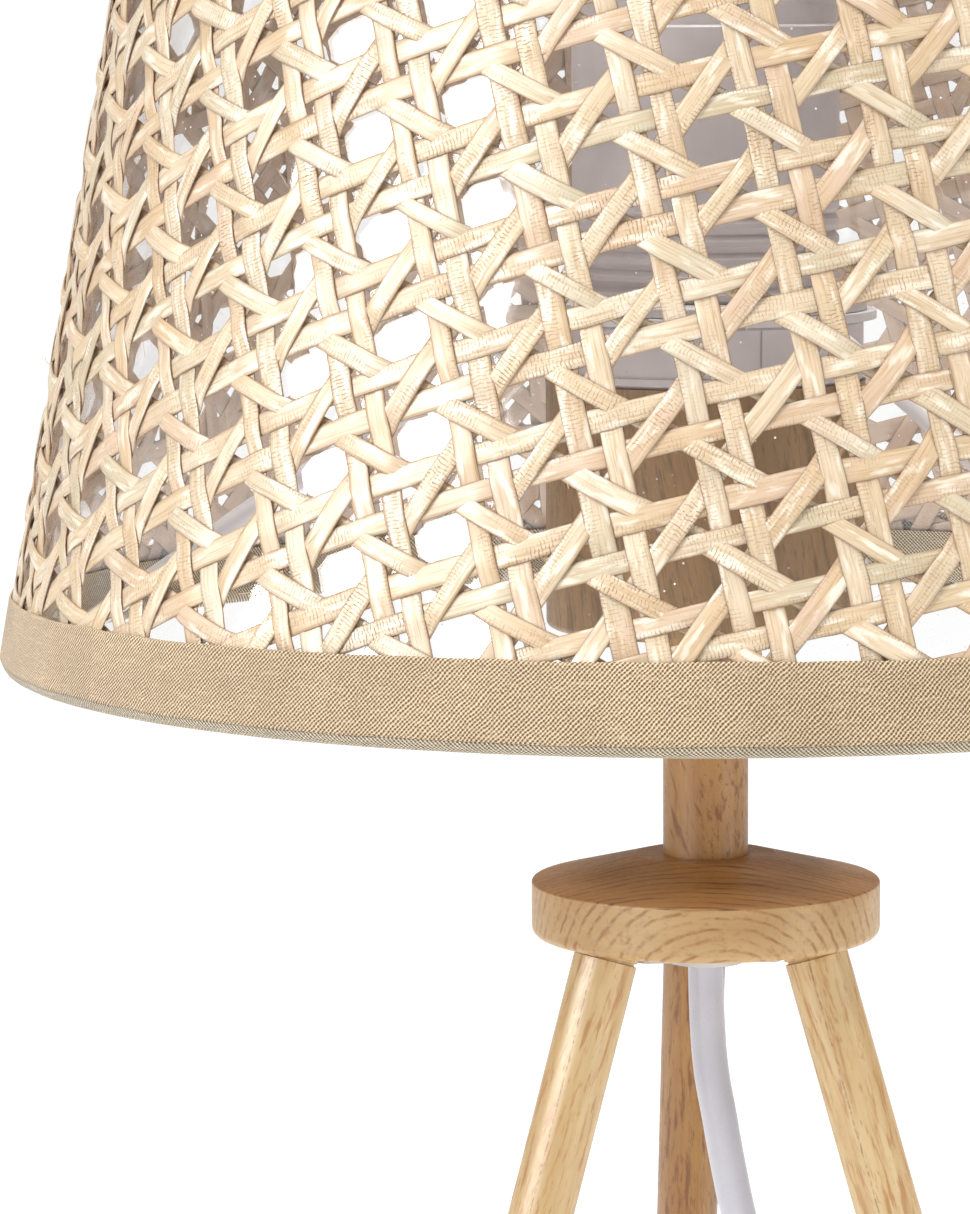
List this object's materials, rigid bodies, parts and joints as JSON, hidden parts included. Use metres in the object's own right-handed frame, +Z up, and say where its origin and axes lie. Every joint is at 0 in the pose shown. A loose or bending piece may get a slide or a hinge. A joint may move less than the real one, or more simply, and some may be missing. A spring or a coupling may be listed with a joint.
{
  "type": "tripod table lamp",
  "caption": "Small tripod table lamp: open-weave cane drum shade with fabric trims on a turned wood-look stem, hub and splayed legs, with a screw-base lampholder and a corded switch and plug.",
  "frame": {"origin": "on the lamp's axis, on the surface that the feet stand on", "axes": "+Z up along the stem, -Y towards the front, with one leg to the back, +X to the right seen from the front"},
  "size_m": [0.2186, 0.3226, 0.4014],
  "materials": {
    "wood_hub": "satin wood-grain",
    "wood_pole": "satin wood-grain with short flecks",
    "wood_leg": "satin wood-grain film with a lengthwise seam",
    "wood_leg_dark": "satin wood-grain, golden brown",
    "wood_cup": "satin brown wood-grain",
    "cane": "natural split cane, semi-gloss",
    "clear_sheet": "clear, glossy, with tiny bubbles",
    "trim_fabric": "plain-woven khaki cotton",
    "white_metal": "white powder coat",
    "holder_plastic": "grey-white moulded",
    "pale_plastic": "pale moulded",
    "white_plastic": "white moulded, semi-gloss",
    "cord_sheath": "white PVC with a faint lilac tint",
    "lead_sheath": "brown PVC",
    "steel": "zinc plated",
    "brass": "bright",
    "plated_pins": "nickel plated",
    "felt": "dark felt"
  },
  "bodies": {
    "stand": {"hub": "wood_hub", "hub_washer": "steel", "hub_nut": "steel", "hub_underplate": "pale_plastic", "cord_grommet": "pale_plastic", "leg_left": "wood_leg", "leg_right": "wood_leg", "leg_rear": "wood_leg_dark", "leg_studs": "steel", "foot_pads": "felt", "pole": "wood_pole", "threaded_rod": "steel", "socket_cup": "wood_cup", "cup_washer": "steel", "cup_nut": "steel", "holder_cap": "holder_plastic", "holder_shell": "holder_plastic", "holder_insert": "pale_plastic", "holder_leads": "lead_sheath", "terminal_screws": "brass", "screw_shell": "brass", "centre_contact": "brass", "cord_inner": "cord_sheath", "cord_run": "cord_sheath", "cord_middle": "cord_sheath", "cord_coil": "cord_sheath", "cord_tie": "white_plastic", "cord_tail": "cord_sheath", "switch_base": "white_plastic", "switch_cover": "white_plastic", "switch_screws": "steel", "switch_reliefs": "white_plastic", "plug_relief": "white_plastic", "plug_body": "white_plastic", "plug_pins": "plated_pins"},
    "shade": {"carrier_ring": "white_metal", "carrier_arm_1": "white_metal", "carrier_arm_2": "white_metal", "carrier_arm_3": "white_metal", "bottom_ring": "white_metal", "top_ring": "white_metal", "shade_liner": "clear_sheet", "cane_webbing": "cane", "bottom_trim": "trim_fabric", "top_trim": "trim_fabric"},
    "lock_ring": {"shade_lock_ring": "pale_plastic"},
    "rocker": {"switch_rocker": "white_plastic"}
  },
  "joints": [
    {"name": "shade_turn", "type": "hinge", "parent": "stand", "child": "shade", "pos_m": [0, 0, 0.3004], "axis": [0, 0, 1], "continuous": true},
    {"name": "lock_ring_turn", "type": "hinge", "parent": "stand", "child": "lock_ring", "pos_m": [0, 0, 0.3016], "axis": [0, 0, 1], "continuous": true},
    {"name": "rocker_tilt", "type": "hinge", "parent": "stand", "child": "rocker", "pos_m": [0.105, 0.118, 0.0096], "axis": [1, 0, 0], "range_deg": [0, 14]}
  ]
}
